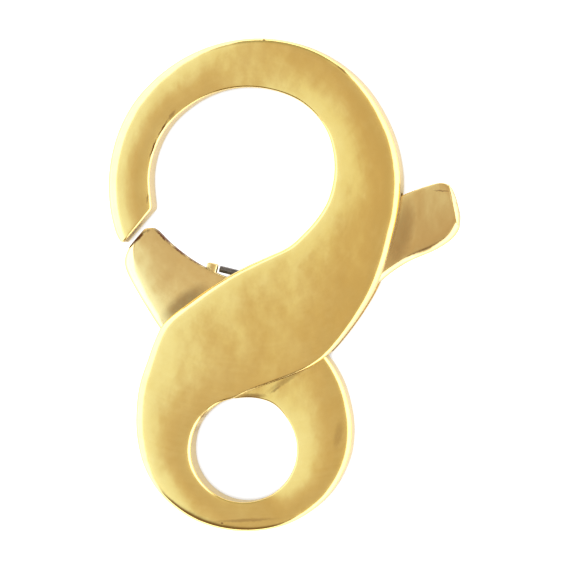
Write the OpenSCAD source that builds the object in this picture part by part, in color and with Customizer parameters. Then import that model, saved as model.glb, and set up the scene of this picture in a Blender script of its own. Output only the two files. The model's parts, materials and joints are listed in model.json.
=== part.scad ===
// Lobster clasp in the form of a figure eight, lying on its back.
// A flat ribbon runs from the hook's tip round the big loop, crosses the waist and closes
// as the small end ring. A trigger turns on a pin in the waist and closes the hook.
// The eye's centre is the drawing's zero, and the whole is then moved onto its base centre.

/* [Body] */
// Outer radius of the big loop
loop_r = 5.35; // [5.0:0.05:5.7]
// Height of the loop's centre above the eye's centre
waist_l = 9.68; // [9.4:0.05:10.2]
// Sideways shift of the loop's centre from the eye's centre
loop_shift = 0.35; // [0:0.05:0.6]
// Outer radius of the end ring
ring_r = 4.0; // [3.8:0.05:4.3]
// Height of the end ring's outer centre above the eye's centre
ring_rise = 1.0; // [0.8:0.05:1.1]
// Diameter of the eye that takes the chain's end ring
eye_d = 3.85; // [3.6:0.05:4.2]
// Bevel round the eye's rim at the back
eye_bevel = 0.12; // [0.05:0.01:0.18]
// Thickness of the body
body_t = 2.2; // [2.1:0.05:2.5]
// Height by which the ribbon's front face is domed
crown = 0.08; // [0.02:0.01:0.15]
// Width of the rounding along the ribbon's front edges
edge_w = 0.34; // [0.2:0.02:0.4]
// Depth of the rounding along the ribbon's front edges
edge_h = 0.3; // [0.2:0.02:0.4]
// Rounding along the ribbon's back edges
back_edge = 0.2; // [0.1:0.02:0.3]
// Drop of the ring's tucked end below the ribbon's front face
ring_drop = 0.42; // [0.2:0.02:0.5]
// Rise of the ring's tucked end above the back face
ring_lift = 0.06; // [0.03:0.01:0.1]

/* [Slot and pin] */
// Thickness of the plate in front of the slot
front_t = 0.64; // [0.55:0.02:0.8]
// Play between the trigger and each face of the slot
slot_play = 0.03; // [0.02:0.01:0.06]
// Gap between the trigger's edges and the slot's end walls
slot_gap = 0.1; // [0.06:0.01:0.15]
// Diameter of the pivot pin
pin_d = 0.9; // [0.7:0.05:1.1]
// Depth of the pin's seat in the front plate
pin_seat = 0.36; // [0.2:0.02:0.45]
// Clearance between the pin and its seats, on the radius
pin_fit = 0.01; // [0.01:0.005:0.02]
// Clearance between the pin and the trigger, on the radius
hub_fit = 0.04; // [0.03:0.01:0.06]
// Depth of the pin's end below the back face
pin_sink = 0.03; // [0.02:0.01:0.05]

/* [Trigger] */
// Thickness of the trigger
trigger_t = 0.84; // [0.75:0.02:0.9]
// Rounding along the trigger's edges
trigger_edge = 0.22; // [0.15:0.01:0.28]
// Gap between the hook's tip and the closed jaw
mouth_gap = 0.2; // [0.15:0.01:0.3]
// Distance of the pivot to the right of the loop's centre
pivot_shift = 0.35; // [0.2:0.05:0.5]
// Distance of the pivot below the loop's centre
pivot_drop = 4.96; // [4.86:0.02:5.06]
// Radius of the trigger's hub
hub_r = 1.44; // [1.36:0.02:1.5]
// Length of the thumb lever from the pivot to its end
lever_l = 8.45; // [8.0:0.05:8.8]
// Angle through which the trigger opens
open_angle = 24; // [18:1:25]

/* [Spring] */
// Thickness of the spring's wire
wire_d = 0.25; // [0.2:0.01:0.27]
// Gap between the pin and the inside of the coil
coil_gap = 0.12; // [0.08:0.01:0.2]
// Number of turns in the coil
coil_turns = 1.25; // [1:0.25:1.5]
// Gap between the coil's turns
turn_gap = 0.02; // [0.01:0.01:0.03]
// Gap between the spring and the trigger's recess
spring_gap = 0.05; // [0.03:0.01:0.08]
// Length of the tab that holds the spring's end
tab_l = 0.4; // [0.3:0.02:0.5]
// Height of the tab above the middle of the spring's wire
tab_h = 0.15; // [0.1:0.01:0.2]

/* [Hidden] */
gold = [0.84, 0.70, 0.38];
steel = [0.55, 0.54, 0.55];
eps = 0.01;
round_sides = 96;

loop_c = [loop_shift, waist_l];
ring_c = [0, ring_rise];
pivot = loop_c + [pivot_shift, -pivot_drop];
eye_r = eye_d / 2;
pin_r = pin_d / 2;
wire_r = wire_d / 2;
slot_t = trigger_t + 2 * slot_play;
slot_z = body_t - front_t - slot_t;
trigger_z = slot_z + slot_play;

// Sections of the ribbon from the hook's tip to the middle of the waist, about the loop's centre:
// angle and radius at the ribbon's right edge, then at its left edge, with radii as shares of loop_r.
// Right and left are those of someone who walks along the ribbon from the hook's tip.
LOOP_ROWS = [
    [ 192,   0.708,  199.5, 1.006],
    [ 183,   0.706,  189,   1.002],
    [ 172,   0.711,  175,   0.999],
    [ 158,   0.711,  159,   0.998],
    [ 142,   0.705,  142,   0.996],
    [ 122,   0.687,  122,   0.990],
    [ 102,   0.672,  102,   0.993],
    [  81,   0.659,   82,   1.003],
    [  59,   0.653,   62,   1.012],
    [  37,   0.626,   42,   1.012],
    [  14,   0.573,   22,   1.007],
    [  -9,   0.527,    5,   1.010],
    [ -28,   0.493,   -9,   1.008],
    [ -45,   0.479,  -21,   1.017],
    [ -61,   0.490,  -31,   1.049],
    [ -78,   0.501,  -40,   1.092],
    [ -93,   0.550,  -48.5, 1.135],
    [-105,   0.640,  -57.5, 1.194],
    [-112,   0.740,  -67,   1.272],
    [-117.5, 0.870,  -76,   1.318]];

// Sections of the ribbon where it becomes the end ring: angle and radius share at the outer edge,
// about the ring's outer centre, then at the eye, about the eye's centre. This edge runs inside the
// eye, whose bore then cuts it. The last value is the share of ring_drop that is reached there.
RING_ROWS = [
    [127.5, 1.175,   81, 1.16, 0],
    [137,   1.115,   99, 0.99, 0],
    [148,   1.050,  120, 0.89, 0],
    [160,   1.022,  142, 0.87, 0],
    [173,   0.999,  164, 0.87, 0],
    [188,   0.996,  187, 0.87, 0],
    [205,   1.008,  208, 0.87, 0],
    [224,   1.014,  230, 0.87, 0.05],
    [246,   1.008,  252, 0.87, 0.2],
    [270,   1.002,  274, 0.87, 0.45],
    [294,   1.016,  296, 0.87, 0.72],
    [318,   1.022,  317, 0.87, 0.92],
    [339,   1.010,  336, 0.87, 1]];

// Sections of the ring's end that tucks under the ribbon, in the same columns, and the number of
// rows over which its back rises.
TUCK_RISE = 3;
TUCK_ROWS = [
    [339,   1.010,  336, 0.87, 1],
    [356,   0.988,  354, 0.87, 1],
    [372,   0.967,  373, 0.87, 1],
    [388,   0.963,  394, 0.87, 1],
    [406,   0.955,  418, 0.87, 1],
    [428,   0.900,  442, 0.87, 1],
    [448,   0.870,  464, 0.87, 1]];

// The hook's slanted end face, about the loop's centre, in the same columns as LOOP_ROWS.
HOOK_END = [194, 0.718, 204.8, 0.997];

// Where the jaw's end face starts and ends, as shares of the way along the hook's end face.
JAW_FACE = [0.42, 0.98];

// Sections of the jaw from its end to the hub, about the loop's centre: angle and radius share at
// the outer edge, then at the inner edge.
JAW_ROWS = [
    [208.4, 1.018,  202.8, 0.758],
    [211.3, 1.056,  206,   0.733],
    [216,   1.078,  211.2, 0.717],
    [224.9, 1.111,  220.4, 0.690],
    [231,   1.145,  229.7, 0.673],
    [236.5, 1.187,  238.2, 0.663],
    [243.2, 1.222,  246.6, 0.660],
    [251,   1.232,  254.8, 0.662]];

// Sections of the hub about the pivot: angle at its lower side, then at its upper side.
HUB_ROWS = [[250, 108], [270, 88], [290, 66]];

// Sections of the thumb lever about the pivot: angle and share of lever_l at the lower edge, then
// at the upper edge.
LEVER_ROWS = [
    [-14,   0.250,  54,   0.300],
    [  8.5, 0.380,  49,   0.475],
    [ 18.3, 0.520,  45,   0.665],
    [ 21.8, 0.640,  42,   0.815],
    [ 22.3, 0.725,  39.6, 0.911],
    [ 22.3, 0.800,  38.4, 0.957],
    [ 23.4, 0.888,  37,   0.985],
    [ 25.3, 0.934,  35.3, 0.993],
    [ 28,   0.962,  32.4, 0.984]];

// The spring's leg after it leaves the coil. Its first points are an angle about the pivot and a
// share of hub_r. The others lie along the jaw's inner edge: the way from the jaw's last section
// towards the one before, as a share, and the distance from the edge as a share of wire_d.
LEG_START = [[118, 1.07], [120.5, 1.34]];
LEG_END = [[0, 0.9], [1.05, 0.66]];

// Share of trigger_t that the tab at the leg's end goes down into the jaw.
TAB_ROOT = 0.36;

function polar(c, a, r) = c + r * [cos(a), sin(a)];
function unit(v) = v / norm(v);
function turned(p, a) = [p[0] * cos(a) - p[1] * sin(a), p[0] * sin(a) + p[1] * cos(a)];
function lift(p, z) = [p[0], p[1], z];

// A value on the smooth curve through b and c, whose neighbours are a and d.
function curve(a, b, c, d, t) =
    0.5 * (2 * b + (c - a) * t + (2 * a - 5 * b + 4 * c - d) * t * t
        + (3 * b - a - 3 * c + d) * t * t * t);

// The rows given, with steps rows for each one.
function smooth(rows, steps) = let(last = len(rows) - 1) [
    for (i = [0 : last - 1], s = [0 : steps - 1])
        curve(rows[max(i - 1, 0)], rows[i], rows[i + 1], rows[min(i + 2, last)], s / steps),
    rows[last]];

// A section across a piece is one list: right edge x, y, left edge x, y, back z, front z.
function section(right, left, back, front) =
    [right[0], right[1], left[0], left[1], back, front];
function right_of(s) = [s[0], s[1]];
function left_of(s) = [s[2], s[3]];
function across(s) = unit(left_of(s) - right_of(s));
function ahead(s) = turned(across(s), -90);
function moved(s, v) = section(right_of(s) + v, left_of(s) + v, s[4], s[5]);

// The most of a section's width that one rounding may take, and where the dome has its points.
EDGE_SHARE = 0.45;
DOME_POINTS = [0.28, 0.5, 0.72];

// One closed outline round a section, from its right edge over the front and back underneath.
// style is: width and depth of the front rounding, back rounding, dome. inset shrinks the outline.
function outline(s, style, inset = 0) =
    let(w = norm(left_of(s) - right_of(s)) - 2 * inset, dir = across(s),
        start = right_of(s) + inset * dir, top = s[5] - inset, base = s[4] + inset,
        e = min(style[0], EDGE_SHARE * w), b = min(style[2], EDGE_SHARE * w),
        front = [for (a = [0 : 30 : 90]) [e * (1 - cos(a)), style[1] * (1 - sin(a))]],
        back = [for (a = [90 : -45 : 0]) [b * (1 - cos(a)), b * (1 - sin(a))]],
        upper = concat(front, [for (k = DOME_POINTS) [w * k, 0]],
            [for (i = [len(front) - 1 : -1 : 0]) [w - front[i][0], front[i][1]]]),
        lower = concat([for (i = [len(back) - 1 : -1 : 0]) [w - back[i][0], back[i][1]]], back))
    concat(
        [for (p = upper) lift(start + p[0] * dir, top - p[1] - style[3] * pow(2 * p[0] / w - 1, 2))],
        [for (p = lower) lift(start + p[0] * dir, base + p[1])]);

// Outlines that round off the end of a piece whose last section is s. way is 1 where the piece
// starts there, with the outlines in order, and -1 where it ends there.
function end_round(s, style, r, way) = [
    for (a = way > 0 ? [0, 35, 70] : [70, 35, 0])
        outline(moved(s, way * r * (1 - cos(a)) * ahead(s)), style, r * (1 - sin(a)))];

// Skin over outlines that all have the same number of points.
module skin(rings) {
    n = len(rings[0]);
    last = len(rings) - 1;
    sides = [for (i = [0 : last - 1], j = [0 : n - 1], half = [0, 1])
        let(k = (j + 1) % n, a = i * n + j, b = i * n + k, c = b + n, d = a + n)
        half == 0 ? [a, b, c] : [a, c, d]];
    start = [for (j = [1 : n - 2]) [0, j + 1, j]];
    end = [for (j = [1 : n - 2]) [last * n, last * n + j, last * n + j + 1]];
    polyhedron(points = [for (r = rings, p = r) p], faces = concat(sides, start, end));
}

function loop_section(r) =
    section(polar(loop_c, r[0], r[1] * loop_r), polar(loop_c, r[2], r[3] * loop_r), 0, body_t);
function ring_section(r, rise) =
    section(polar(ring_c, r[0], r[1] * ring_r), polar([0, 0], r[2], r[3] * eye_r),
        rise * ring_lift, body_t - r[4] * ring_drop);
function jaw_section(r) =
    section(polar(loop_c, r[0], r[1] * loop_r), polar(loop_c, r[2], r[3] * loop_r),
        trigger_z, trigger_z + trigger_t);
function hub_section(r) =
    section(polar(pivot, r[0], hub_r), polar(pivot, r[1], hub_r), trigger_z, trigger_z + trigger_t);
function lever_section(r) =
    section(polar(pivot, r[0], r[1] * lever_l), polar(pivot, r[2], r[3] * lever_l),
        trigger_z, trigger_z + trigger_t);

body_style = [edge_w, edge_h, back_edge, crown];
trigger_style = [trigger_edge, trigger_edge, trigger_edge, 0];

hook_end = loop_section(HOOK_END);
hook_face = left_of(hook_end) - right_of(hook_end);
jaw_corner = right_of(hook_end) - mouth_gap * ahead(hook_end);
jaw_end = section(jaw_corner + JAW_FACE[1] * hook_face, jaw_corner + JAW_FACE[0] * hook_face,
    trigger_z, trigger_z + trigger_t);

ribbon_rows = concat([for (r = LOOP_ROWS) loop_section(r)], [for (r = RING_ROWS) ring_section(r, 0)]);
tuck_rows = [for (i = [0 : len(TUCK_ROWS) - 1]) ring_section(TUCK_ROWS[i], min(i / TUCK_RISE, 1))];
jaw_rows = [for (r = JAW_ROWS) jaw_section(r)];
hub_rows = [for (r = HUB_ROWS) hub_section(r)];
lever_rows = [for (r = LEVER_ROWS) lever_section(r)];
trigger_rows = concat(jaw_rows, hub_rows, lever_rows);
lever_end = lever_rows[len(lever_rows) - 1];

// Corners of the slot in plan. Its end walls follow the trigger's edges: the jaw's outer edge and
// the lever's upper edge with the clasp closed, the other two with it open. The jaw's inner edge
// has room for the spring's leg, which lies on it.
JAW_IN_SLOT = 4;
LEVER_IN_SLOT = 4;
function open_pose(p) = pivot + turned(p - pivot, -open_angle);
function outside_right(s) = right_of(s) - slot_gap * across(s);
function outside_left(s, gap = slot_gap) = left_of(s) + gap * across(s);
leg_room = wire_d + 2 * slot_gap;
slot_jaw = [for (i = [JAW_IN_SLOT : len(jaw_rows) - 1]) jaw_rows[i]];
slot_lever = [for (i = [0 : LEVER_IN_SLOT]) lever_rows[i]];
slot_low = concat([for (s = concat(slot_jaw, [hub_rows[0]])) outside_right(s)],
    [for (s = concat([hub_rows[2]], slot_lever)) open_pose(outside_right(s))]);
slot_high = concat([for (s = concat(slot_jaw, [hub_rows[0]])) open_pose(outside_left(s, leg_room))],
    [for (s = concat([hub_rows[2]], slot_lever)) outside_left(s)]);

// The coil lies in a recess in the trigger's back. Its lower end runs out as the leg.
function between(a, b, share) = a + share * (b - a);
jaw_last = len(jaw_rows) - 1;
leg = concat([for (p = LEG_START) polar([0, 0], p[0], p[1] * hub_r)],
    [for (p = LEG_END) let(s = between(jaw_rows[jaw_last], jaw_rows[jaw_last - 1], p[0]))
        left_of(s) + p[1] * wire_d * across(s) - pivot]);
leg_last = len(leg) - 1;
leg_way = unit(leg[leg_last] - leg[leg_last - 1]);
coil_r = pin_r + coil_gap + wire_r;
coil_z = trigger_z + spring_gap + wire_r;
turn_rise = wire_d + turn_gap;
recess_t = coil_turns * turn_rise + wire_d + 2 * spring_gap;
leg_start = atan2(leg[0][1], leg[0][0]) - acos(coil_r / norm(leg[0]));

TURN_STEPS = 16;
coil_path = [for (i = [TURN_STEPS * coil_turns : -1 : 0])
    lift(polar([0, 0], leg_start - 360 * i / TURN_STEPS, coil_r), coil_z + turn_rise * i / TURN_STEPS)];
leg_path = [for (p = smooth(leg, 3)) lift(p, coil_z)];
spring_path = concat(coil_path, leg_path);

// Round wire along a path.
module wire(path, r, sides = 8) {
    last = len(path) - 1;
    skin([for (i = [0 : last])
        let(way = unit(path[min(i + 1, last)] - path[max(i - 1, 0)]),
            side = unit(cross(way, [0, 0, 1])), up = cross(side, way))
        [for (a = [0 : 360 / sides : 359]) path[i] + r * (cos(a) * side + sin(a) * up)]]);
}

// Straight groove between two points, as wide as the wire with its play.
module groove(from, to) {
    run = to - from;
    wide = wire_d + 2 * spring_gap;
    translate([from[0], from[1], trigger_z - eps])
        rotate([0, 0, atan2(run[1], run[0])])
        translate([-wide / 2, -wide / 2, 0])
        cube([norm(run) + wide, wide, wide + eps]);
}

module slot_cut() {
    translate([0, 0, slot_z])
        linear_extrude(slot_t)
        polygon(concat(slot_low, [for (i = [len(slot_high) - 1 : -1 : 0]) slot_high[i]]));
}

module eye_cut() {
    translate([0, 0, -eps]) cylinder(h = body_t + 2 * eps, r = eye_r, $fn = round_sides);
    translate([0, 0, -eps])
        cylinder(h = eye_bevel + eps, r1 = eye_r + eye_bevel + eps, r2 = eye_r, $fn = round_sides);
}

module body() color(gold) difference() {
    union() {
        skin(concat(end_round(hook_end, body_style, back_edge / 2, 1),
            [for (s = smooth(ribbon_rows, 3)) outline(s, body_style)]));
        skin([for (s = smooth(tuck_rows, 3)) outline(s, body_style)]);
    }
    eye_cut();
    slot_cut();
    translate(lift(pivot, -eps))
        cylinder(h = slot_z + slot_t + pin_seat + eps, r = pin_r + pin_fit, $fn = round_sides);
}

module trigger() color(gold) difference() {
    union() {
        skin(concat(end_round(jaw_end, trigger_style, trigger_edge / 2, 1),
            [for (s = smooth(trigger_rows, 2)) if (s != lever_end) outline(s, trigger_style)],
            end_round(lever_end, trigger_style, trigger_edge / 2, -1)));
        tab();
    }
    translate(lift(pivot, trigger_z - eps)) {
        cylinder(h = trigger_t + 2 * eps, r = pin_r + hub_fit, $fn = round_sides);
        cylinder(h = recess_t + eps, r = coil_r + wire_r + spring_gap, $fn = round_sides);
    }
    translate(lift(pivot, 0)) {
        groove(polar([0, 0], leg_start, coil_r), leg[0]);
        for (i = [0 : leg_last - 2]) groove(leg[i], leg[i + 1]);
    }
}

// The tab stands on the jaw's inner edge just past the end of the spring's leg.
module tab() {
    root = TAB_ROOT * trigger_t;
    translate(lift(pivot + leg[leg_last] + spring_gap * leg_way, trigger_z + trigger_edge))
        rotate([0, 0, atan2(leg_way[1], leg_way[0])])
        translate([0, -tab_h, 0])
        cube([tab_l, root + tab_h, trigger_t - 2 * trigger_edge]);
}

module pivot_pin() color(gold)
    translate(lift(pivot, pin_sink))
    cylinder(h = slot_z + slot_t + pin_seat - 2 * pin_sink, r = pin_r, $fn = round_sides);

module spring() color(steel)
    translate(lift(pivot, 0)) wire(spring_path, wire_r);

// Middle of the outline in plan, moved onto the zero.
plan = concat([for (s = concat(ribbon_rows, lever_rows)) left_of(s)], [for (s = ribbon_rows) right_of(s)]);
lows = [for (k = [0, 1]) min([for (p = plan) p[k]])];
highs = [for (k = [0, 1]) max([for (p = plan) p[k]])];
middle = (lows + highs) / 2;

module place() translate([-middle[0], -middle[1], 0]) children();

place() body();
place() trigger();
place() pivot_pin();
place() spring();
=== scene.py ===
import json
import math

import bmesh
import bpy
from mathutils import Matrix, Vector


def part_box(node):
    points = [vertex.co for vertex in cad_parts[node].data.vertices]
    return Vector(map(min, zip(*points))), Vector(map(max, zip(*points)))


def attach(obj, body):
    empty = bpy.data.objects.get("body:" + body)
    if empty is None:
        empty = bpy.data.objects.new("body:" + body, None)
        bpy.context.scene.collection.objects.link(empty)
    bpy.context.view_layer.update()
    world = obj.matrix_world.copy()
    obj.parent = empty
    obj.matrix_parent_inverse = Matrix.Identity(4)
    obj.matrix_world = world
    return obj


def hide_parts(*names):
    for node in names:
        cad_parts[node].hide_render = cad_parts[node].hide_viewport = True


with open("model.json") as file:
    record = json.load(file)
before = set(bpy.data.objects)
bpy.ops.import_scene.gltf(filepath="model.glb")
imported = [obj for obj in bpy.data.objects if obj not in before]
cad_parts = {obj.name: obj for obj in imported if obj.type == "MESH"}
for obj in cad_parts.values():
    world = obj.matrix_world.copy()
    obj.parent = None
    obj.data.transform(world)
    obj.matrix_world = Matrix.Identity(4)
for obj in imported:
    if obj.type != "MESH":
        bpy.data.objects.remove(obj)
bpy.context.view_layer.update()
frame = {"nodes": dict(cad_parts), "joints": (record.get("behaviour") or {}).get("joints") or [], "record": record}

# Lengths are in millimetres here, in the frame's directions. settle() brings each finished piece
# to metres, at the size and place that the frame gives it.
MM = 0.001
JOINT = frame["joints"][0]
MOUNTS = {mount["name"]: mount for mount in frame["record"]["mounts"]}

# Centres in plan
PIVOT = Vector(JOINT["pos_m"][:2]) / MM
EYE = Vector(MOUNTS["chain_eye"]["pos_m"][:2]) / MM
LOOP = PIVOT + Vector((-0.35, 4.96))
RING = EYE + Vector((0, 1.0))

# Body
LOOP_R = 5.35
RING_R = 4.0
EYE_R = MOUNTS["chain_eye"]["dims"]["r_mm"]
BODY_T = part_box("body")[1].z / MM
CROWN = 0.08
RING_DROP = 0.42
RING_LIFT = 0.06
FRONT_EDGE = 0.34
BACK_EDGE = 0.18

# Slot, pin and trigger
TRIGGER_T = 0.84
TRIGGER_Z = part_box("trigger")[0].z / MM
TRIGGER_CROWN = 0.05
TRIGGER_EDGE = 0.45
TRIGGER_BACK_EDGE = 0.16
SLOT_PLAY = 0.03
SLOT_GAP = 0.1
PIN_R = 0.45
PIN_FIT = 0.01
HUB_FIT = 0.04
PIN_SEAT = 0.36
MOUTH_GAP = 0.2
HUB_R = 1.44
LEVER_L = 8.45
OPEN_ANGLE = JOINT["range_deg"][1]

# Spring and the tab at its end
WIRE_D = 0.25
WIRE_EDGE = 0.1 * WIRE_D
COIL_GAP = 0.12
COIL_TURNS = 1.25
TURN_GAP = 0.02
TURN_RISE = WIRE_D + TURN_GAP
SPRING_GAP = 0.05
COIL_R = PIN_R + COIL_GAP + WIRE_D / 2
COIL_Z = TRIGGER_Z + SPRING_GAP + WIRE_D / 2
TAB_L = 0.4
TAB_H = 0.15
TAB_ROOT = 0.3
TAB_EDGE = 0.06

# Roundings of the front edges and upright corners at the ends of the pieces, as shares of
# FRONT_EDGE and TRIGGER_EDGE
HOOK_FACE_ROUND = 0.2
HOOK_CORNER_ROUND = 0.5
JAW_FACE_ROUND = 0.16
THUMB_ROUND = 0.5

# Fineness of the meshes: where faces meet across a piece, as shares of its width, how many
# sections stand for one row of a table, and how many steps a rounding, a turn or a circle has
COLUMNS = (0.27, 0.5, 0.73)
RIBBON_STEPS = 3
TRIGGER_STEPS = 2
LEG_STEPS = 4
FRONT_SEGMENTS = 3
BACK_SEGMENTS = 2
SMOOTH_LEVELS = 2
TURN_STEPS = 16
WIRE_SIDES = 16
ROD_SIDES = 64

# Edges sharper than SHARP_ANGLE may be rounded, and those flatter than SMOOTH_ANGLE are shaded
# smooth. Points within NEAR are one point, and edges within BACK_ZONE of a piece's back are back
# edges. A tool reaches TOOL_REACH past the face that it cuts.
SHARP_ANGLE = 50
SMOOTH_ANGLE = 35
NEAR = 0.01
BACK_ZONE = 0.1
TOOL_REACH = 0.1

# Sections of the ribbon from the hook's tip to the middle of the waist, about the loop's centre:
# angle and share of LOOP_R at the right edge, then at the left edge, for someone who walks along
# the ribbon from the hook's tip. The last two values are how far the front's right and left edges
# are rounded, as shares of FRONT_EDGE.
HOOK_END = (194, 0.718, 204.8, 0.997, 0.2, 0.8)
LOOP_ROWS = (
    (192, 0.708, 199.5, 1.006, 0.2, 1),
    (183, 0.706, 189, 1.002, 0.2, 1),
    (172, 0.711, 175, 0.999, 0.2, 1),
    (158, 0.711, 159, 0.998, 0.2, 1),
    (142, 0.705, 142, 0.996, 0.2, 0.95),
    (122, 0.687, 122, 0.990, 0.2, 0.75),
    (102, 0.672, 102, 0.993, 0.2, 0.5),
    (81, 0.659, 82, 1.003, 0.2, 0.35),
    (59, 0.653, 62, 1.012, 0.22, 0.35),
    (37, 0.626, 42, 1.012, 0.35, 0.5),
    (14, 0.573, 22, 1.007, 0.5, 0.7),
    (-9, 0.527, 5, 1.010, 0.55, 0.75),
    (-28, 0.493, -9, 1.008, 0.5, 0.75),
    (-45, 0.479, -21, 1.017, 0.45, 0.75),
    (-61, 0.490, -31, 1.049, 0.45, 0.7),
    (-78, 0.501, -40, 1.092, 0.5, 0.65),
    (-93, 0.550, -48.5, 1.135, 0.6, 0.6),
    (-105, 0.640, -57.5, 1.194, 0.7, 0.5),
    (-112, 0.740, -67, 1.272, 0.75, 0.4),
    (-117.5, 0.870, -76, 1.318, 0.8, 0.3),
)

# Sections of the ribbon where it becomes the end ring: angle and share of RING_R at the outer
# edge, about the ring's centre, then angle and share of EYE_R at the eye, about the eye's centre.
# The next value is the share of RING_DROP that is reached there, then that of RING_LIFT, and the
# last two are how far the front edges are rounded, as above.
RING_ROWS = (
    (127.5, 1.175, 81, 1.16, 0, 0, 0.8, 0.25),
    (137, 1.115, 99, 1.0, 0, 0, 0.85, 0.25),
    (148, 1.050, 118, 1, 0, 0, 0.9, 0.25),
    (160, 1.022, 142, 1, 0, 0, 0.9, 0.38),
    (173, 0.999, 164, 1, 0, 0, 0.9, 0.38),
    (188, 0.996, 187, 1, 0, 0, 0.9, 0.38),
    (205, 1.008, 208, 1, 0, 0, 0.85, 0.38),
    (224, 1.014, 230, 1, 0.05, 0, 0.7, 0.38),
    (246, 1.008, 252, 1, 0.2, 0, 0.5, 0.3),
    (270, 1.002, 274, 1, 0.45, 0, 0.4, 0.2),
    (294, 1.016, 296, 1, 0.72, 0, 0.4, 0.2),
    (318, 1.022, 317, 1, 0.92, 0, 0.5, 0.2),
    (339, 1.010, 336, 1, 1, 0.3, 0.55, 0.2),
    (356, 0.988, 354, 1, 1, 1, 0.55, 0.2),
    (372, 0.967, 373, 1, 1, 1, 0.5, 0.2),
    (388, 0.963, 394, 1, 1, 1, 0.5, 0.2),
    (406, 0.955, 418, 1.03, 1, 1, 0.4, 0.2),
    (428, 0.900, 442, 0.995, 1, 1, 0.3, 0.2),
    (448, 0.870, 464, 0.985, 1, 1, 0.3, 0.2),
)

# Sections of the trigger. The jaw's are about the loop's centre, as shares of LOOP_R at the outer
# edge, then at the inner edge. The hub's are angles about the pivot. The lever's are about the
# pivot, as shares of LEVER_L at the lower edge, then at the upper edge. The last two values are how
# far the front edges are rounded, as shares of TRIGGER_EDGE. JAW_FACE is the part of the hook's end
# face that the jaw's end face stands against.
JAW_FACE = (0.42, 0.98)
JAW_ROWS = (
    (208.4, 1.018, 202.8, 0.758, 1, 0.12),
    (211.3, 1.056, 206, 0.733, 1, 0.12),
    (216, 1.078, 211.2, 0.717, 1, 0.12),
    (224.9, 1.111, 220.4, 0.690, 1, 0.12),
    (231, 1.145, 229.7, 0.673, 1, 0.12),
    (236.5, 1.187, 238.2, 0.663, 1, 0.12),
    (243.2, 1.222, 246.6, 0.660, 1, 0.12),
    (251, 1.232, 254.8, 0.662, 1, 0.12),
)
HUB_ROWS = ((250, 108), (270, 88), (290, 66))
HUB_ROUND = 0.12
LEVER_ROWS = (
    (-14, 0.250, 54, 0.300, 0.6, 0.12),
    (8.5, 0.380, 49, 0.475, 0.6, 0.12),
    (18.3, 0.520, 45, 0.665, 0.6, 0.12),
    (21.8, 0.640, 42, 0.815, 0.6, 0.12),
    (22.3, 0.725, 39.6, 0.911, 0.6, 0.12),
    (22.3, 0.800, 38.4, 0.957, 0.6, 0.12),
    (23.4, 0.888, 37, 0.985, 0.6, 0.12),
    (25.3, 0.934, 35.3, 0.993, 0.6, 0.12),
    (28, 0.962, 32.4, 0.984, 0.6, 0.12),
)

# The slot covers the jaw from section SLOT_JAW on, and the lever's first SLOT_LEVER sections.
SLOT_JAW = 4
SLOT_LEVER = 5

# The spring's leg: angles about the pivot and shares of HUB_R, then points along the jaw's inner
# edge, as shares of the way from its last section to the one before and of WIRE_D from the edge.
# The leg lies in a groove from the coil to point number GROOVE_POINTS.
LEG_START = ((118, 1.07), (120.5, 1.34))
LEG_END = ((0, 0.9), (1.05, 0.66))
GROOVE_POINTS = 3

# Gold: light and deep tone of each piece, the darker gold painted on its walls as shade, how it looks
# at a grazing angle, and the colour of its marks, which are tarnish and painted shade
BODY_TONES = ((1.0, 0.82, 0.36), (0.93, 0.70, 0.25))
TRIGGER_TONES = ((1.0, 0.84, 0.44), (0.92, 0.70, 0.32))
PIN_TONES = ((0.98, 0.78, 0.33), (0.92, 0.71, 0.27))
# Darker, duller gold on upright walls: painted shade.
SHADED_WALL_GOLD = (0.66, 0.56, 0.38)
EDGE_TINT = (0.54, 0.47, 0.33)
TARNISH_AND_SHADE = (0.12, 0.04, 0.01)

# Drawn steel, in its dark and its bright lines
STEEL_DARK = (0.07, 0.065, 0.07)
STEEL_BRIGHT = (0.34, 0.32, 0.33)

# Noises, each with its scale per millimetre, detail and roughness
CLOUDS = (0.5, 4.0, 0.6)
MOTTLE = (3.0, 4.0, 0.65)
STREAKS = (1.0, 5.0, 0.65)
WIPES = (1.6, 5.0, 0.7)
WAVES = (0.55, 2.0, 0.4)
HAMMER = (2.6, 2.0, 0.5)
TEARS = (6.0, 3.0, 0.6)
WIRE_LINES = (9.0, 3.0, 0.6)

# How often the streaks change across the loop's band and round it, and how the wipes lie
STREAK_ACROSS = 7
STREAK_ROUND = 1.6
WIPE_TURN = 0.9
WIPE_STRETCH = (0.6, 14, 1)

# Tone: share of each noise, what is taken off, and the fall per millimetre to the right
CLOUD_TONE = 1.3
MOTTLE_TONE = 0.7
STREAK_TONE = 0.5
TONE_LOSS = 0.85
TONE_FALL = 0.07

# Roughness: of a clean face, added by each noise, and added on walls. A wall's normal rises less
# than WALL_RISE[0], and a face's more than WALL_RISE[1].
CLEAN_ROUGH = 0.08
NOISE_ROUGH = 0.05
WALL_ROUGH = 0.3
WALL_RISE = (0.05, 0.35)

# Heights of the relief that hand polishing leaves
WAVE_H = 0.06
HAMMER_H = 0.004
STREAK_H = 0.0008
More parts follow.
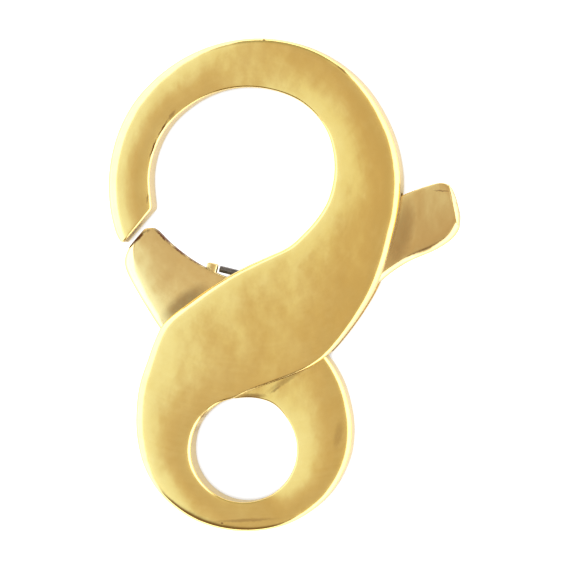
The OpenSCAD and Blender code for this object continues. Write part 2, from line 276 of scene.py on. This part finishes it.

# Marks in plan: tarnish, small pits, dark lines along edges, and painted shade beside the ribbon,
# along the step where it lies over the ring and under the jaw's tab. Each has a centre, direction,
# half length, half width and strength. A mark is at its full strength as far as MARK_CORE of the
# way to its edge, which is torn by up to half of MARK_TEAR. It goes MARK_DEPTH half lengths down.
MARK_CORE = 0.25
MARK_TEAR = 0.12
MARK_DEPTH = 10
BODY_MARKS = (
    (-0.638, 8.972, 0, 0.07, 0.05, 0.9),
    (-2.182, -8.671, 0, 0.07, 0.05, 0.9),
    (-4.02, 6.226, 55, 0.30, 0.09, 0.45),
    (-4.718, 4.982, 72, 0.50, 0.045, 1.0),
    (-4.351, 5.751, 60, 0.50, 0.045, 1.0),
    (-4.902, 3.188, 85, 0.26, 0.05, 0.55),
    (2.046, -5.450, 80, 0.70, 0.22, 0.22),
    # The next two marks are painted shade along the step where the ribbon lies over the ring.
    (0.098, -3.473, 32, 1.05, 0.13, 0.35),
    (-0.233, -3.766, 35, 0.35, 0.07, 0.5),
    (-1.336, -8.561, 3, 1.5, 0.09, 0.35),
    (2.23, 7.874, -42, 0.40, 0.045, 0.6),
    (-5.637, 1.50, -8, 0.24, 0.06, 0.8),
    (-5.461, 1.754, 42, 0.42, 0.07, 0.9),
    # Partly tarnish, partly painted shade where the ring's tucked end steps down under the ribbon.
    (-1.116, -4.02, 0, 0.65, 0.12, 0.6),
    (-2.862, -4.681, 50, 0.45, 0.06, 0.7),
    (-3.21, -5.45, 78, 0.6, 0.05, 0.4),
)
TRIGGER_MARKS = (
    (5.808, 3.463, -2, 0.45, 0.045, 0.6),
    # Painted shade on the jaw beside the ribbon.
    (-3.604, -0.637, 38, 1.3, 0.5, 0.55),
    (-4.965, 1.999, 10, 0.16, 0.10, 0.7),
    # Painted shade on the lever beside the ribbon.
    (4.30, 1.90, 74, 1.9, 0.7, 0.42),
    (-5.306, 1.734, 47, 0.60, 0.08, 1.0),
    (-4.415, 1.778, -44, 0.70, 0.07, 1.0),
    (-3.813, 1.259, -38, 0.55, 0.07, 1.0),
    (-3.143, 0.836, -29, 0.70, 0.07, 1.0),
    (5.00, 3.60, 17, 0.80, 0.07, 0.9),
    (5.4, 2.6, 60, 2.2, 1.6, 0.16),
    # The next two marks are painted shade in the slit under the jaw's tab.
    (-2.67, 0.66, -25, 0.12, 0.06, 0.9),
    (-2.41, 0.52, -60, 0.10, 0.05, 0.9),
)

# Floor: its size in metres, its light, how far and how deeply a piece shades it, and how far the
# dark line reaches where a piece stands on it
FLOOR_SIZE = 4
FLOOR_LIGHT = 1.9
SHADE_REACH = 3
SHADE_DEPTH = 0.4
CONTACT_REACH = 0.25

# Light of the ceiling from the room's left, at -1, to its right, at 1
CEILING = (
    (-0.55, (1.05, 1.12, 1.05)),
    (-0.31, (0.95, 1.00, 0.93)),
    (-0.18, (0.90, 0.92, 0.80)),
    (-0.11, (0.73, 0.64, 0.49)),
    (-0.02, (0.65, 0.52, 0.37)),
    (0.08, (0.60, 0.49, 0.36)),
    (0.19, (0.64, 0.54, 0.40)),
    (0.40, (0.86, 0.77, 0.57)),
    (0.80, (1.0, 0.95, 0.8)),
)

# The room's back, its front, the window on its left and the one on its right: direction in plan,
# how far towards it each begins and is full, and its light
ROOM_SIDES = (
    (0, 1, 0.45, 0.8, (0.45, 0.42, 0.30)),
    (0, -1, 0.4, 0.7, (0.20, 0.13, 0.07)),
    (-0.94, 0.34, 0.5, 0.6, (1.8, 1.8, 2.1)),
    (0.99, -0.14, 0.36, 0.52, (2.4, 2.4, 2.5)),
)

# Camera: its tilt, the direction that it leans to, its distance, its view's width and middle
TILT = 5.2
LEAN = 14
DISTANCE = 250
VIEW_WIDTH = 20.86
AIM = Vector((0.037, 0.015, 1.1))
SENSOR = 36


def polar(centre, degrees, radius):
    angle = math.radians(degrees)
    return centre + radius * Vector((math.cos(angle), math.sin(angle)))


def turned(point, centre, degrees):
    return centre + Matrix.Rotation(math.radians(degrees), 2) @ (point - centre)


def curve(a, b, c, d, t):
    """A value on the smooth curve through b and c, whose neighbours are a and d."""
    return 0.5 * (2 * b + (c - a) * t + (2 * a - 5 * b + 4 * c - d) * t * t
                  + (3 * b - a - 3 * c + d) * t * t * t)


def smooth(rows, steps):
    """The rows given, with steps rows for each one."""
    last = len(rows) - 1
    made = []
    for i in range(last):
        around = (rows[max(i - 1, 0)], rows[i], rows[i + 1], rows[min(i + 2, last)])
        for part in range(steps):
            made.append(tuple(curve(*values, part / steps) for values in zip(*around)))
    return made + [rows[last]]


class Section:
    """A place across a piece: its right and left edges in plan, its back and front heights, and
    the roundings of the front's right and left edges."""

    def __init__(self, right, left, back, front, round_right=0, round_left=0):
        self.right = right
        self.left = left
        self.back = back
        self.front = front
        self.round_right = round_right
        self.round_left = round_left

    @property
    def across(self):
        return (self.left - self.right).normalized()

    @property
    def ahead(self):
        return turned(self.across, Vector((0, 0)), -90)

    @property
    def heading(self):
        return math.degrees(math.atan2(self.across.y, self.across.x))

    @property
    def width(self):
        return (self.left - self.right).length

    @property
    def height(self):
        return self.front - self.back

    @property
    def centre(self):
        middle = (self.left + self.right) / 2
        return Vector((middle.x, middle.y, (self.back + self.front) / 2))

    def numbers(self):
        return (*self.right, *self.left, self.back, self.front, self.round_right, self.round_left)

    def front_corners(self):
        """The front's right and left corners."""
        return Vector((*self.right, self.front)), Vector((*self.left, self.front))


def from_numbers(row):
    return Section(Vector(row[0:2]), Vector(row[2:4]), *row[4:])


def between(a, b, share):
    return a + share * (b - a)


def loop_section(row):
    return Section(polar(LOOP, row[0], row[1] * LOOP_R), polar(LOOP, row[2], row[3] * LOOP_R),
                   0, BODY_T - CROWN, row[4], row[5])


def ring_section(row):
    return Section(polar(RING, row[0], row[1] * RING_R), polar(EYE, row[2], row[3] * EYE_R),
                   row[5] * RING_LIFT, BODY_T - CROWN - row[4] * RING_DROP, row[6], row[7])


def trigger_section(row, centre, radius):
    return Section(polar(centre, row[0], row[1] * radius), polar(centre, row[2], row[3] * radius),
                   TRIGGER_Z, TRIGGER_Z + TRIGGER_T - TRIGGER_CROWN, row[4], row[5])


def smooth_sections(sections, steps):
    return [from_numbers(row) for row in smooth([s.numbers() for s in sections], steps)]


# The ribbon's sections
hook_end = loop_section(HOOK_END)
ribbon = [hook_end] + smooth_sections(
    [loop_section(row) for row in LOOP_ROWS] + [ring_section(row) for row in RING_ROWS],
    RIBBON_STEPS)

# The trigger's sections
jaw = [trigger_section(row, LOOP, LOOP_R) for row in JAW_ROWS]
hub = [trigger_section((low, 1, high, 1, HUB_ROUND, HUB_ROUND), PIVOT, HUB_R)
       for low, high in HUB_ROWS]
lever = [trigger_section(row, PIVOT, LEVER_L) for row in LEVER_ROWS]
mouth = hook_end.right - MOUTH_GAP * hook_end.ahead
hook_face = hook_end.left - hook_end.right
jaw_end = Section(mouth + JAW_FACE[1] * hook_face, mouth + JAW_FACE[0] * hook_face,
                  jaw[0].back, jaw[0].front, jaw[0].round_right, jaw[0].round_left)
trigger_line = [jaw_end] + smooth_sections(jaw + hub + lever[:-1], TRIGGER_STEPS) + [lever[-1]]

# The spring's leg
leg = [polar(PIVOT, angle, share * HUB_R) for angle, share in LEG_START]
for way, out in LEG_END:
    near = from_numbers([between(a, b, way) for a, b in zip(jaw[-1].numbers(), jaw[-2].numbers())])
    leg.append(near.left + out * WIRE_D * near.across)
leg_way = leg[0] - PIVOT
leg_angle = math.degrees(math.atan2(leg_way.y, leg_way.x) - math.acos(COIL_R / leg_way.length))


def deselect():
    if bpy.context.mode != "OBJECT":
        bpy.ops.object.mode_set(mode="OBJECT")
    bpy.ops.object.select_all(action="DESELECT")


def select(kind, test):
    """In edit mode, select the verts or edges that pass the test, and nothing else."""
    bpy.ops.mesh.select_mode(type={"verts": "VERT", "edges": "EDGE"}[kind])
    bpy.ops.mesh.select_all(action="DESELECT")
    mesh = bpy.context.object.data
    shape = bmesh.from_edit_mesh(mesh)
    for part in getattr(shape, kind):
        if test(part):
            part.select_set(True)
    shape.select_flush_mode()
    bmesh.update_edit_mesh(mesh)


def middle(edge):
    return (edge.verts[0].co + edge.verts[1].co) / 2


def turn(degrees, centre):
    """Turn what is selected about a vertical axis, anticlockwise from above."""
    bpy.ops.transform.rotate(value=-math.radians(degrees), orient_axis="Z", orient_type="GLOBAL",
                             center_override=centre)


def walk(sections):
    """Extrude the selected faces, which fill the first section, from section to section."""
    for here, there in zip(sections, sections[1:]):
        bpy.ops.mesh.extrude_region_move(
            TRANSFORM_OT_translate={"value": there.centre - here.centre})
        bend = (there.heading - here.heading + 180) % 360 - 180
        wider = there.width / here.width
        turn(bend, there.centre)
        bpy.ops.transform.resize(value=(wider, wider, there.height / here.height),
                                 center_override=there.centre)


def upright_grid(name, section, crown):
    """Fill a section with a row of faces, with the front edge domed by crown."""
    deselect()
    bpy.ops.mesh.primitive_grid_add(x_subdivisions=len(COLUMNS) + 1, y_subdivisions=1, size=1,
                                    rotation=(math.pi / 2, 0, 0))
    piece = bpy.context.object
    piece.name = name
    piece.data.name = name
    bpy.ops.object.transform_apply(location=True, rotation=True, scale=True)
    bpy.ops.object.mode_set(mode="EDIT")
    bpy.ops.transform.resize(value=(section.width, 1, section.height), center_override=(0, 0, 0))
    for number, share in enumerate(COLUMNS, 1):
        x = section.width * (number / (len(COLUMNS) + 1) - 0.5)
        to_place = section.width * (share - 0.5) - x
        rise = crown * (1 - (2 * share - 1) ** 2)
        select("verts", lambda v: abs(v.co.x - x) < NEAR)
        bpy.ops.transform.translate(value=(to_place, 0, 0))
        select("verts", lambda v: abs(v.co.x - x - to_place) < NEAR and v.co.z > 0)
        bpy.ops.transform.translate(value=(0, 0, rise))
    bpy.ops.mesh.select_mode(type="FACE")
    bpy.ops.mesh.select_all(action="SELECT")
    bpy.ops.transform.translate(value=section.centre)
    turn(section.heading, section.centre)
    return piece


def weigh(test, weight):
    """Give the edges that pass the test their share of the widest rounding."""
    select("edges", test)
    bpy.ops.transform.edge_bevelweight(value=weight)


def on_face(edge, section):
    """Whether an edge lies on the front or the sides of an end face."""
    flat = middle(edge).to_2d() - section.centre.to_2d()
    at_side = abs(flat.dot(section.across)) > section.width / 2 - NEAR
    at_front = middle(edge).z > section.front - NEAR
    ends = [abs((v.co.to_2d() - section.centre.to_2d()).dot(section.ahead)) for v in edge.verts]
    return (at_side or at_front) and max(ends) < NEAR


def on_corner(edge, corner):
    """Whether an edge stands upright over a point in plan."""
    return max((v.co.to_2d() - corner).length for v in edge.verts) < NEAR


def weigh_fronts(sections):
    """Give the front's two edges, from section to section, their shares of the rounding."""
    for here, there in zip(sections, sections[1:]):
        shares = ((here.round_right + there.round_right) / 2, (here.round_left + there.round_left) / 2)
        for a, b, share in zip(here.front_corners(), there.front_corners(), shares):
            weigh(lambda e: (middle(e) - (a + b) / 2).length < NEAR, share)


def bevel(test, width):
    """Round the sharp edges that pass the test."""
    bpy.ops.mesh.select_mode(type="EDGE")
    bpy.ops.mesh.select_all(action="DESELECT")
    bpy.ops.mesh.edges_select_sharp(sharpness=math.radians(SHARP_ANGLE))
    mesh = bpy.context.object.data
    shape = bmesh.from_edit_mesh(mesh)
    for edge in shape.edges:
        if edge.select and not test(edge):
            edge.select_set(False)
    bmesh.update_edit_mesh(mesh)
    bpy.ops.mesh.bevel(offset_type="OFFSET", offset=width, segments=BACK_SEGMENTS, profile=0.5,
                       affect="EDGES", clamp_overlap=True)


def bevel_back(back, width):
    """Round the edges of a piece whose back is at the height given."""
    bevel(lambda e: max(v.co.z for v in e.verts) < back + BACK_ZONE, width)


def faces_out():
    bpy.ops.mesh.select_all(action="SELECT")
    bpy.ops.mesh.normals_make_consistent(inside=False)


def apply_modifier(piece, kind, **settings):
    """Add a modifier to the piece, set it and apply it."""
    deselect()
    bpy.context.view_layer.objects.active = piece
    piece.select_set(True)
    added = piece.modifiers.new(kind.title(), kind)
    for name, value in settings.items():
        setattr(added, name, value)
    bpy.ops.object.modifier_apply(modifier=added.name)


def round_fronts(piece, width):
    """Round the edges that have a weight, then smooth the whole piece."""
    bpy.ops.object.mode_set(mode="OBJECT")
    apply_modifier(piece, "BEVEL", width=width, segments=FRONT_SEGMENTS, limit_method="WEIGHT",
                   use_clamp_overlap=False)
    apply_modifier(piece, "SUBSURF", levels=SMOOTH_LEVELS, render_levels=SMOOTH_LEVELS)


def cut(piece, tool, operation="DIFFERENCE", own=False):
    """Cut the piece with a tool, or join the two, and drop the tool."""
    apply_modifier(piece, "BOOLEAN", operation=operation, object=tool, solver="EXACT", use_self=own)
    bpy.data.objects.remove(tool)


def prism(name, outline, low, high):
    """A plate with the outline given, in plan, between two heights."""
    deselect()
    start = Vector((*outline[0], low))
    bpy.ops.mesh.primitive_plane_add(size=1, location=start)
    piece = bpy.context.object
    piece.name = name
    bpy.ops.object.transform_apply(location=True, rotation=True, scale=True)
    bpy.ops.object.mode_set(mode="EDIT")
    bpy.ops.mesh.select_mode(type="VERT")
    bpy.ops.mesh.merge(type="CENTER")
    for here, there in zip(outline, outline[1:]):
        move = Vector((*(there - here), 0))
        bpy.ops.mesh.extrude_region_move(TRANSFORM_OT_translate={"value": move})
    bpy.ops.mesh.select_all(action="SELECT")
    bpy.ops.mesh.edge_face_add()
    bpy.ops.mesh.extrude_region_move(TRANSFORM_OT_translate={"value": (0, 0, high - low)})
    faces_out()
    bpy.ops.object.mode_set(mode="OBJECT")
    return piece


def rod(name, radius, low, high):
    """An upright cylinder about the pivot."""
    deselect()
    bpy.ops.mesh.primitive_cylinder_add(vertices=ROD_SIDES, radius=radius, depth=high - low,
                                        location=(*PIVOT, (low + high) / 2))
    piece = bpy.context.object
    piece.name = name
    bpy.ops.object.transform_apply(location=True, rotation=True, scale=True)
    return piece


def settle(piece, material, body):
    """Bring a finished piece to metres, give it its finish and let it ride on its body."""
    deselect()
    bpy.context.view_layer.objects.active = piece
    piece.select_set(True)
    piece.scale = (MM, MM, MM)
    bpy.ops.object.transform_apply(location=True, rotation=True, scale=True)
    bpy.ops.object.shade_smooth_by_angle(angle=math.radians(SMOOTH_ANGLE))
    piece.data.materials.clear()
    piece.data.materials.append(material)
    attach(piece, body)


class Wire:
    """One output of a node. Sums and products of wires add Math nodes to the tree."""

    def __init__(self, tree, socket=None):
        self.tree = tree
        self.socket = socket

    def node(self, kind, settings=None, sockets=None, out=0):
        """Add a node, set its settings, then give its sockets their values or links."""
        made = self.tree.nodes.new(kind)
        for name, value in (settings or {}).items():
            if name == "stops":
                while len(made.color_ramp.elements) < len(value):
                    made.color_ramp.elements.new(1)
                for element, (place, colour) in zip(made.color_ramp.elements, value):
                    element.position = place
                    element.color = (*colour, 1)
            else:
                setattr(made, name, value)
        for name, value in (sockets or {}).items():
            if isinstance(value, Wire):
                self.tree.links.new(value.socket, made.inputs[name])
            else:
                made.inputs[name].default_value = value
        return Wire(self.tree, made.outputs[out]) if made.outputs else None

    def math(self, operation, *values):
        return self.node("ShaderNodeMath", {"operation": operation}, dict(enumerate(values)))

    def clamp(self):
        return self.node("ShaderNodeMath", {"operation": "ADD", "use_clamp": True}, {0: self, 1: 0.0})

    def __add__(self, other):
        return self.math("ADD", self, other)

    def __radd__(self, other):
        return self.math("ADD", other, self)

    def __sub__(self, other):
        return self.math("SUBTRACT", self, other)

    def __rsub__(self, other):
        return self.math("SUBTRACT", other, self)

    def __mul__(self, other):
        return self.math("MULTIPLY", self, other)

    def __rmul__(self, other):
        return self.math("MULTIPLY", other, self)

    def __pow__(self, other):
        return self.math("POWER", self, other)


def mix(start, share, a, b):
    """Mix two colours by a share. Each is a wire or a colour without its alpha."""
    a, b = (colour if isinstance(colour, Wire) else (*colour, 1) for colour in (a, b))
    return start.node("ShaderNodeMix", {"data_type": "RGBA"}, {0: share, 6: a, 7: b}, out=2)


def step(wire, low, high):
    """A smooth step of a value, from 0 at low to 1 at high."""
    return wire.node("ShaderNodeMapRange", {"interpolation_type": "SMOOTHSTEP"},
                     {"Value": wire, "From Min": low, "From Max": high})


def axis(start, vector, name):
    """One of a vector's X, Y and Z."""
    return start.node("ShaderNodeSeparateXYZ", None, {0: vector}, out=name)


def noise(start, place, kind, out="Fac"):
    """A noise over the place, as a value or as a colour."""
    scale, detail, roughness = kind
    return start.node("ShaderNodeTexNoise", None, {
        "Vector": place, "Scale": scale, "Detail": detail, "Roughness": roughness}, out=out)


def scaled(start, vector, factor):
    return start.node("ShaderNodeVectorMath", {"operation": "SCALE"}, {0: vector, "Scale": factor})


def in_mm(start):
    """Object coordinates in millimetres."""
    return scaled(start, start.node("ShaderNodeTexCoord", out="Object"), 1 / MM)


def openness(start, reach):
    """How open a place is, from 0 to 1, as far as the reach given."""
    return start.node("ShaderNodeAmbientOcclusion", {"samples": 8}, {"Distance": reach * MM}, out="AO")


def new_material(name):
    material = bpy.data.materials.new(name)
    material.use_nodes = True
    material.node_tree.nodes.clear()
    return material, Wire(material.node_tree)


def patch(start, place, mark):
    """A mask for one mark: its strength in its middle, fading out to 0 at its edge."""
    x, y, direction, long, wide, strength = mark
    inside = start.node("ShaderNodeMapping", {"vector_type": "TEXTURE"}, {
        "Vector": place, "Location": (x, y, BODY_T), "Rotation": (0, 0, math.radians(direction)),
        "Scale": (long, wide, MARK_DEPTH * long)})
    reach = start.node("ShaderNodeVectorMath", {"operation": "LENGTH"}, {0: inside}, out="Value")
    return strength * (1 - step(reach, MARK_CORE, 1.0))


def tarnish_and_shade_mask(start, place, marks):
    """A mask for all the marks, some of which are painted shade, with torn edges."""
    tears = noise(start, place, TEARS, out="Color")
    tears = start.node("ShaderNodeVectorMath", {"operation": "SUBTRACT"}, {0: tears, 1: (0.5, 0.5, 0.5)})
    torn_place = start.node("ShaderNodeVectorMath", {"operation": "ADD"},
                            {0: place, 1: scaled(start, tears, MARK_TEAR)})
    stain_and_shade = 0.0
    for mark in marks:
        stain_and_shade = start.math("MAXIMUM", stain_and_shade, patch(start, torn_place, mark))
    return stain_and_shade


def gold(name, tones, marks=()):
    """Polished gold with a soft play of tone, painted shade on its walls, wipe marks, the waves of
    hand finishing, and marks, some of which are painted shade.
    """
    material, start = new_material(name)
    light, deep = tones
    place = in_mm(start)
    x = axis(start, place, "X") - LOOP.x
    y = axis(start, place, "Y") - LOOP.y
    round_place = start.node("ShaderNodeCombineXYZ", None, {
        "X": STREAK_ACROSS * (x * x + y * y) ** 0.5, "Y": STREAK_ROUND * start.math("ARCTAN2", x, y)})
    wiped_place = start.node("ShaderNodeMapping", None, {
        "Vector": place, "Rotation": (0, 0, WIPE_TURN), "Scale": WIPE_STRETCH})
    streaks = noise(start, round_place, STREAKS)
    clouds = noise(start, place, CLOUDS)
    mottle = noise(start, place, MOTTLE)
    wipes = noise(start, wiped_place, WIPES)
    rise = axis(start, start.node("ShaderNodeNewGeometry", out="Normal"), "Z")
    wall = 1 - step(rise, *WALL_RISE)

    tone = clouds * CLOUD_TONE + mottle * MOTTLE_TONE + streaks * STREAK_TONE - TONE_LOSS
    colour = mix(start, (tone - TONE_FALL * x).clamp(), deep, light)
    # Painted shade: upright walls get a darker, duller gold.
    colour = mix(start, wall, colour, SHADED_WALL_GOLD)
    roughness = CLEAN_ROUGH + wipes * NOISE_ROUGH + mottle * NOISE_ROUGH + streaks * NOISE_ROUGH
    relief = {}
    for height, distance in ((noise(start, place, WAVES), WAVE_H),
                             (noise(start, place, HAMMER), HAMMER_H),
                             (streaks, STREAK_H)):
        relief = {"Normal": start.node("ShaderNodeBump", None, {
            "Strength": 1.0, "Distance": distance * MM, "Height": height, **relief})}
    shader = start.node("ShaderNodeBsdfPrincipled", None, {
        "Base Color": colour, "Metallic": 1.0, "Roughness": roughness + WALL_ROUGH * wall,
        "Specular Tint": (*EDGE_TINT, 1), **relief})
    # The marks: tarnish and pits, and painted shade beside the ribbon, along its step over the ring and under the
    # jaw's tab.
    if marks:
        dirt_and_shade = start.node("ShaderNodeBsdfPrincipled", None, {
            "Base Color": (*TARNISH_AND_SHADE, 1), "Roughness": 0.6, "Specular IOR Level": 0.1})
        shader = start.node("ShaderNodeMixShader", None,
                            {0: tarnish_and_shade_mask(start, place, marks), 1: shader, 2: dirt_and_shade})
    start.node("ShaderNodeOutputMaterial", None, {"Surface": shader})
    return material


def spring_steel():
    """Drawn steel wire, grey, with fine lines."""
    material, start = new_material("spring_steel")
    lines = noise(start, in_mm(start), WIRE_LINES)
    shader = start.node("ShaderNodeBsdfPrincipled", None, {
        "Base Color": mix(start, lines, STEEL_DARK, STEEL_BRIGHT), "Metallic": 1.0,
        "Roughness": 0.22 + lines * 0.2})
    start.node("ShaderNodeOutputMaterial", None, {"Surface": shader})
    return material


def build_body(material):
    """The casting that is hook, loop, ribbon and ring in one, with its slot and pin seat."""
    piece = upright_grid("clasp_body", ribbon[0], CROWN)
    walk(ribbon)
    faces_out()
    bevel_back(0, BACK_EDGE)
    weigh_fronts(ribbon)
    weigh(lambda e: on_face(e, ribbon[0]), HOOK_FACE_ROUND)
    weigh(lambda e: on_corner(e, ribbon[0].left), HOOK_CORNER_ROUND)
    round_fronts(piece, FRONT_EDGE)
    slot_low = TRIGGER_Z - SLOT_PLAY
    slot_high = TRIGGER_Z + TRIGGER_T + SLOT_PLAY
    cut(piece, prism("slot_tool", slot_outline(), slot_low, slot_high), own=True)
    cut(piece, rod("pin_tool", PIN_R + PIN_FIT, -TOOL_REACH, slot_high + PIN_SEAT))
    settle(piece, material, "clasp")
    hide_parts("body")


def slot_outline():
    """Corners of the slot in plan, clear of the trigger from closed to open."""
    def opened(point):
        return turned(point, PIVOT, -OPEN_ANGLE)

    leg_room = WIRE_D + 2 * SLOT_GAP
    jaw_side = jaw[SLOT_JAW:] + [hub[0]]
    lever_side = [hub[-1]] + lever[:SLOT_LEVER]
    low = [s.right - SLOT_GAP * s.across for s in jaw_side]
    low += [opened(s.right - SLOT_GAP * s.across) for s in lever_side]
    high = [opened(s.left + leg_room * s.across) for s in jaw_side]
    high += [s.left + SLOT_GAP * s.across for s in lever_side]
    return low + high[::-1]


def build_trigger(material):
    """The jaw, hub and thumb lever in one casting."""
    piece = upright_grid("clasp_trigger", trigger_line[0], TRIGGER_CROWN)
    walk(trigger_line)
    faces_out()
    bevel_back(TRIGGER_Z, TRIGGER_BACK_EDGE)
    weigh_fronts(trigger_line)
    weigh(lambda e: on_face(e, trigger_line[0]), JAW_FACE_ROUND)
    weigh(lambda e: on_face(e, trigger_line[-1]), THUMB_ROUND)
    for corner in (trigger_line[-1].right, trigger_line[-1].left):
        weigh(lambda e: on_corner(e, corner), THUMB_ROUND)
    round_fronts(piece, TRIGGER_EDGE)
    cut(piece, tab(), operation="UNION")
    low = TRIGGER_Z - TOOL_REACH
    cut(piece, rod("hole_tool", PIN_R + HUB_FIT, low, TRIGGER_Z + TRIGGER_T + TOOL_REACH))
    coil_out = COIL_R + WIRE_D / 2 + SPRING_GAP
    recess_t = COIL_TURNS * TURN_RISE + WIRE_D + 2 * SPRING_GAP
    cut(piece, rod("recess_tool", coil_out, low, TRIGGER_Z + recess_t))
    grooved = [polar(PIVOT, leg_angle, COIL_R)] + leg[:GROOVE_POINTS]
    for here, there in zip(grooved, grooved[1:]):
        cut(piece, groove(here, there))
    settle(piece, material, "lever")
    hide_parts("trigger")


def tab():
    """The small tongue on the jaw's inner edge, just past the end of the spring's leg."""
    way = (leg[-1] - leg[-2]).normalized()
    start = leg[-1] + SPRING_GAP * way
    side = turned(way, Vector((0, 0)), 90)
    centre = start + way * TAB_L / 2 + side * (TAB_ROOT - TAB_H) / 2
    deselect()
    bpy.ops.mesh.primitive_cube_add(size=1, location=(*centre, TRIGGER_Z + TRIGGER_T / 2))
    piece = bpy.context.object
    piece.name = "tab_tool"
    piece.rotation_euler.z = math.atan2(way.y, way.x)
    piece.scale = (TAB_L, TAB_ROOT + TAB_H, TRIGGER_T - 2 * TRIGGER_BACK_EDGE)
    bpy.ops.object.transform_apply(location=True, rotation=True, scale=True)
    bpy.ops.object.mode_set(mode="EDIT")
    bevel(lambda e: True, TAB_EDGE)
    bpy.ops.object.mode_set(mode="OBJECT")
    return piece


def groove(here, there):
    """A tool for the groove that the spring's leg lies in, between two points in plan."""
    way = (there - here).normalized()
    half = WIRE_D / 2 + SPRING_GAP
    side = half * turned(way, Vector((0, 0)), 90)
    low, high = here - half * way, there + half * way
    return prism("groove_tool", [low - side, high - side, high + side, low + side],
                 TRIGGER_Z - TOOL_REACH, TRIGGER_Z + 2 * half)


def build_spring(material):
    """The wire's coil round the pin, and its leg along the jaw."""
    turns = [i / TURN_STEPS for i in range(round(TURN_STEPS * COIL_TURNS), -1, -1)]
    path = [(*polar(PIVOT, leg_angle - 360 * t, COIL_R), COIL_Z + TURN_RISE * t) for t in turns]
    path += [(*point, COIL_Z) for point in smooth([tuple(p) for p in leg], LEG_STEPS)]
    path = [Vector(point) for point in path]
    sections = []
    for before, here, after in zip([path[0]] + path, path, path[1:] + [path[-1]]):
        way = (after - before).to_2d().normalized()
        side = WIRE_D / 2 * turned(way, Vector((0, 0)), 90)
        sections.append(Section(here.to_2d() - side, here.to_2d() + side,
                                here.z - WIRE_D / 2, here.z + WIRE_D / 2))
    deselect()
    bpy.ops.mesh.primitive_circle_add(vertices=WIRE_SIDES, radius=WIRE_D / 2, fill_type="NGON",
                                      rotation=(math.pi / 2, 0, 0))
    piece = bpy.context.object
    piece.name = "clasp_spring"
    bpy.ops.object.transform_apply(location=True, rotation=True, scale=True)
    bpy.ops.object.mode_set(mode="EDIT")
    bpy.ops.transform.translate(value=sections[0].centre)
    turn(sections[0].heading, sections[0].centre)
    walk(sections)
    faces_out()
    bevel(lambda e: True, WIRE_EDGE)
    bpy.ops.object.mode_set(mode="OBJECT")
    settle(piece, material, "lever")
    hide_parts("spring")


def lay_floor():
    """A pale floor that shines softly, darker round the pieces and where they stand on it."""
    deselect()
    bpy.ops.mesh.primitive_plane_add(size=FLOOR_SIZE, location=(0, 0, 0))
    floor = bpy.context.object
    floor.name = "floor"
    material, start = new_material("pale_floor")
    shade = 1 - SHADE_DEPTH + SHADE_DEPTH * openness(start, SHADE_REACH) ** 2
    light = mix(start, shade * openness(start, CONTACT_REACH), (0, 0, 0), (1, 1, 1))
    paper = start.node("ShaderNodeBsdfPrincipled", None, {
        "Base Color": (0.3, 0.3, 0.3, 1), "Roughness": 0.9,
        "Emission Color": light, "Emission Strength": FLOOR_LIGHT})
    start.node("ShaderNodeOutputMaterial", None, {"Surface": paper})
    floor.data.materials.append(material)


def light_room():
    """Soft light from a pale ceiling, a window on the left and one on the right."""
    world = bpy.data.worlds.new("pale_room")
    world.use_nodes = True
    world.node_tree.nodes.clear()
    start = Wire(world.node_tree)
    way = start.node("ShaderNodeTexCoord", out="Generated")
    x = axis(start, way, "X")
    y = axis(start, way, "Y")
    colour = start.node("ShaderNodeValToRGB", {"stops": [((at + 1) / 2, c) for at, c in CEILING]},
                        {0: 0.5 + 0.5 * x})
    for side_x, side_y, begins, full, light in ROOM_SIDES:
        colour = mix(start, step(side_x * x + side_y * y, begins, full), colour, light)
    room = start.node("ShaderNodeBackground", None, {"Color": colour, "Strength": 1.0})
    start.node("ShaderNodeOutputWorld", None, {"Surface": room})
    bpy.context.scene.world = world


def set_camera():
    """The photograph's view: nearly straight down, from a little to the right."""
    tilt = math.radians(TILT)
    lean = math.radians(LEAN)
    back = Vector((math.sin(tilt) * math.cos(lean), math.sin(tilt) * math.sin(lean), math.cos(tilt)))
    right = Vector((0, 1, 0)).cross(back).normalized()
    up = back.cross(right)
    data = bpy.data.cameras.new("camera")
    data.sensor_width = SENSOR
    data.lens = SENSOR * DISTANCE / VIEW_WIDTH
    camera = bpy.data.objects.new("camera", data)
    bpy.context.scene.collection.objects.link(camera)
    camera.location = (AIM + DISTANCE * back) * MM
    camera.rotation_euler = Matrix((right, up, back)).transposed().to_euler()
    bpy.context.scene.camera = camera


set_camera()
lay_floor()
light_room()
bpy.context.scene.view_settings.view_transform = "Standard"

body_gold = gold("body_gold", BODY_TONES, BODY_MARKS)
trigger_gold = gold("trigger_gold", TRIGGER_TONES, TRIGGER_MARKS)
pin_gold = gold("pin_gold", PIN_TONES)

build_body(body_gold)
build_trigger(trigger_gold)
build_spring(spring_steel())
pin = frame["nodes"]["pivot_pin"]
pin.data.materials.clear()
pin.data.materials.append(pin_gold)
